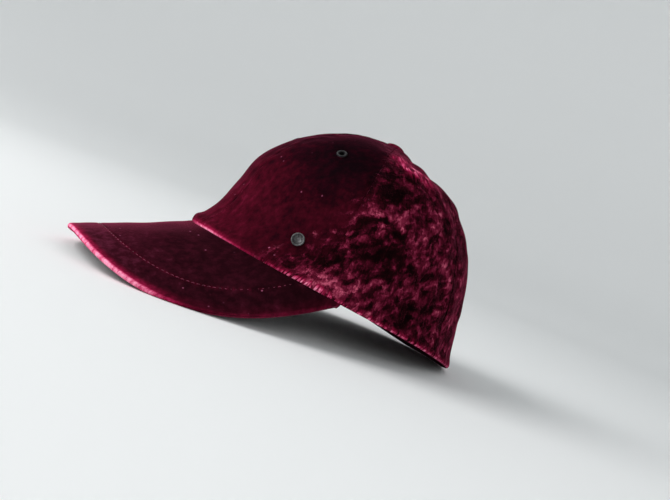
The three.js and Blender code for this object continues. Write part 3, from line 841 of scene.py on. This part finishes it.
arch = STITCH_ARCH_MM * (1 - (2 * bead_points[:, 2] / STITCH_LENGTH_MM) ** 2)
stitch_sets = []
for face, depth in ((1, np.zeros(len(stitch_at))), (-1, peak_thickness(stitch_flat[:, 0]))):
    middle = stitch_top - stitch_up * (depth + face * (STITCH_GROOVE_MM + STITCH_SINK_MM))[:, None]
    stitch_sets.append(
        middle[:, None]
        + stitch_side[:, None] * bead_points[None, :, :1] * face
        + stitch_up[:, None] * (bead_points[None, :, 1:2] + arch[None, :, None]) * face
        + stitch_run[:, None] * bead_points[None, :, 2:]
    )
stitch_points = np.concatenate(stitch_sets)
stitch_start = (np.arange(len(stitch_points)) * len(bead_points))[:, None, None]
# Spun polyester: its plies twist round each other, so that it is dark and light by turns.
THREAD_PLY_MM = 1.2
thread, thread_tree, thread_shader = new_material("spun_polyester_thread")
ply = add_node(
    thread_tree, "ShaderNodeTexNoise",
    {
        "Vector": add_node(thread_tree, "ShaderNodeTexCoord").outputs["Object"],
        "Scale": 1 / (THREAD_PLY_MM * MM), "Detail": 2.0,
    },
).outputs["Fac"]
thread_colour = add_node(
    thread_tree, "ShaderNodeValToRGB", {"Fac": ply}, stops=[(0.35, "#320a1a"), (0.65, "#8c2c4c")]
).outputs["Color"]
thread_tree.links.new(thread_colour, thread_shader.inputs["Base Color"])
thread_shader.inputs["Roughness"].default_value = 0.5
thread_shader.inputs["Specular IOR Level"].default_value = 0.25
stitches = make_piece(
    "peak_stitches", rest(stitch_points),
    [(group[None] + stitch_start).reshape(-1, group.shape[1]) for group in bead_faces], [thread],
)
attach(stitches, "root")


# Fittings: two air eyelets and the temple rivet, pressed from brass, blackened to a dark gunmetal and
# tumbled, so that their raised rims are rubbed lighter.
HEAD_GAP_MM = 0.2
FITTING_SPOKES = 72
CLINCH_RADIUS_MM = 3.6
EYELET_RADIUS_MM = 3.55
EYELET_HEIGHT_MM = 0.8
EYELET_HOLE_MM = 1.9
EYELET_BARREL_MM = 2.4
RIVET_RADIUS_MM = 4.2
RIVET_HEIGHT_MM = 1.4
RIVET_RIM_MM = 0.45
RIVET_CHAMFER_MM = 0.3
RIVET_POST_MM = 1.6
PATINA_MM = 1.1
PATINA_RELIEF_MM = 0.12
gunmetal, metal_tree, metal_shader = new_material("blackened_brass")
metal_spot = add_node(metal_tree, "ShaderNodeTexCoord").outputs["Object"]
patina = add_node(
    metal_tree, "ShaderNodeTexNoise", {"Vector": metal_spot, "Scale": 1 / (PATINA_MM * MM), "Detail": 4.0}
).outputs["Fac"]
rubbed = add_node(metal_tree, "ShaderNodeAttribute", attribute_name="rubbed").outputs["Fac"]
wear = add_node(
    metal_tree, "ShaderNodeMath", {0: patina, 1: 0.9, 2: rubbed}, operation="MULTIPLY_ADD"
).outputs[0]
metal_colour = add_node(
    metal_tree, "ShaderNodeValToRGB", {"Fac": wear},
    stops=[(0.25, "#1c1a1c"), (0.5, "#323132"), (0.75, "#4a494a"), (1.0, "#6c6b6c")],
).outputs["Color"]
metal_tree.links.new(metal_colour, metal_shader.inputs["Base Color"])
metal_tree.links.new(
    add_node(metal_tree, "ShaderNodeMapRange", {"Value": wear, 1: 0.3, 2: 1.0, 3: 0.7, 4: 0.55}).outputs[0],
    metal_shader.inputs["Roughness"],
)
metal_tree.links.new(
    add_node(
        metal_tree, "ShaderNodeBump", {"Height": patina, "Strength": 0.4, "Distance": PATINA_RELIEF_MM * MM}
    ).outputs["Normal"],
    metal_shader.inputs["Normal"],
)
metal_shader.inputs["Metallic"].default_value = 1.0

clinch_back = -(WALL_MM + CLINCH_GAP_MM)
half_turn = np.linspace(0, np.pi, 17)
ring_middle, ring_half = (EYELET_RADIUS_MM + EYELET_HOLE_MM) / 2, (EYELET_RADIUS_MM - EYELET_HOLE_MM) / 2
eyelet_profile = np.array([
    (EYELET_HOLE_MM, clinch_back - CLINCH_HEIGHT_MM),
    (CLINCH_RADIUS_MM, clinch_back - CLINCH_HEIGHT_MM),
    (CLINCH_RADIUS_MM, clinch_back),
    (EYELET_BARREL_MM, clinch_back),
    (EYELET_BARREL_MM, HEAD_GAP_MM),
    *zip(
        ring_middle + ring_half * np.cos(half_turn),
        HEAD_GAP_MM + EYELET_HEIGHT_MM * np.sin(half_turn) ** 0.7,
    ),
])
rim_middle = RIVET_RADIUS_MM - RIVET_RIM_MM
rivet_top = HEAD_GAP_MM + RIVET_HEIGHT_MM
rivet_profile = np.array([
    (0, clinch_back - CLINCH_HEIGHT_MM),
    (CLINCH_RADIUS_MM, clinch_back - CLINCH_HEIGHT_MM),
    (CLINCH_RADIUS_MM, clinch_back),
    (RIVET_POST_MM, clinch_back),
    (RIVET_POST_MM, HEAD_GAP_MM),
    (RIVET_RADIUS_MM - RIVET_CHAMFER_MM, HEAD_GAP_MM),
    (RIVET_RADIUS_MM, HEAD_GAP_MM + RIVET_CHAMFER_MM),
    *zip(
        rim_middle + RIVET_RIM_MM * np.cos(half_turn),
        rivet_top - RIVET_RIM_MM + RIVET_RIM_MM * np.sin(half_turn),
    ),
    (0, rivet_top - RIVET_RIM_MM / 2),
])
for node_name, profile, (seat, axis), worn_from, wear_depth in (
    ("eyelet_left", eyelet_profile, fittings[0], EYELET_HEIGHT_MM, 0.25),
    ("eyelet_right", eyelet_profile, fittings[1], EYELET_HEIGHT_MM, 0.25),
    ("temple_rivet", rivet_profile, fittings[2], rivet_top - 2 * RIVET_RIM_MM, 0.5),
):
    fitting_points, fitting_faces = turned(profile, FITTING_SPOKES, seat, axis)
    height = (fitting_points - seat) @ axis
    fitting = make_piece(
        f"{node_name}_brass", rest(fitting_points), fitting_faces, [gunmetal],
        rubbed=wear_depth * fade(height, worn_from, profile[:, 1].max()),
    )
    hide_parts(node_name)
    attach(fitting, "root")


# Floor: a pale sheet that runs level under the cap and curves up far behind it, all round. Its line has the
# distance from the cap and the height, in metres.
FLOOR_RINGS = 60
FLOOR_SPOKES = 96
floor_line = np.array([
    (0.0, 0.0), (0.9, 0.0), (1.4, 0.02), (1.9, 0.15), (2.3, 0.5), (2.5, 1.1), (2.6, 2.4),
])
floor_profile = along_line(floor_line, np.linspace(0, 1, FLOOR_RINGS))
floor_profile[0] = 0
spin = np.linspace(0, 2 * np.pi, FLOOR_SPOKES, endpoint=False)
floor_points = np.stack([
    floor_profile[:, :1] * np.cos(spin), floor_profile[:, :1] * np.sin(spin),
    np.broadcast_to(floor_profile[:, 1:], (FLOOR_RINGS, FLOOR_SPOKES)),
], axis=-1)
floor_at = np.arange(FLOOR_RINGS * FLOOR_SPOKES).reshape(FLOOR_RINGS, FLOOR_SPOKES)
floor_right = np.roll(floor_at, -1, axis=1)
floor_faces = np.stack([floor_at[:-1], floor_at[1:], floor_right[1:], floor_right[:-1]], axis=-1)
paper, _, paper_shader = new_material("matt_backdrop_paper")
paper_shader.inputs["Base Color"].default_value = hex_linear("#f4f5f5")
paper_shader.inputs["Roughness"].default_value = 0.95
floor = make_piece("floor", floor_points, [floor_faces.reshape(-1, 4)], [paper])


# Light: a wide soft window light ahead of the cap and above it, a weak fill on the cap's left, and a pale
# room all round. Both lamps are square panels that face the middle of the cap.
bpy.context.scene.view_settings.view_transform = "Standard"


def soft_light(name, direction, distance, size, power):
    """A square area light at a distance in a direction from the camera's aim on the cap, facing that."""
    data = bpy.data.lights.new(name, "AREA")
    data.shape = "SQUARE"
    data.size = size
    data.energy = power
    lamp = bpy.data.objects.new(name, data)
    facing = np.array(direction, float)
    facing /= np.linalg.norm(facing)
    beside = np.cross((0, 0, 1), facing)
    beside /= np.linalg.norm(beside)
    place = facing * distance + CAMERA_AIM_MM * MM
    lamp.matrix_world = Matrix(np.vstack([
        np.stack([beside, np.cross(facing, beside), facing, place], axis=1),
        [0.0, 0.0, 0.0, 1.0],
    ]).tolist())
    bpy.context.scene.collection.objects.link(lamp)


soft_light("window_light", direction=(-0.35, -1.0, 0.66), distance=1.7, size=1.2, power=25)
soft_light("fill_light", direction=(0.9, -0.3, 0.5), distance=1.5, size=1.0, power=3)
world = bpy.data.worlds.new("pale_room")
bpy.context.scene.world = world
world.use_nodes = True
world.node_tree.nodes["Background"].inputs["Color"].default_value = hex_linear("#dfe4e6")
world.node_tree.nodes["Background"].inputs["Strength"].default_value = 0.5
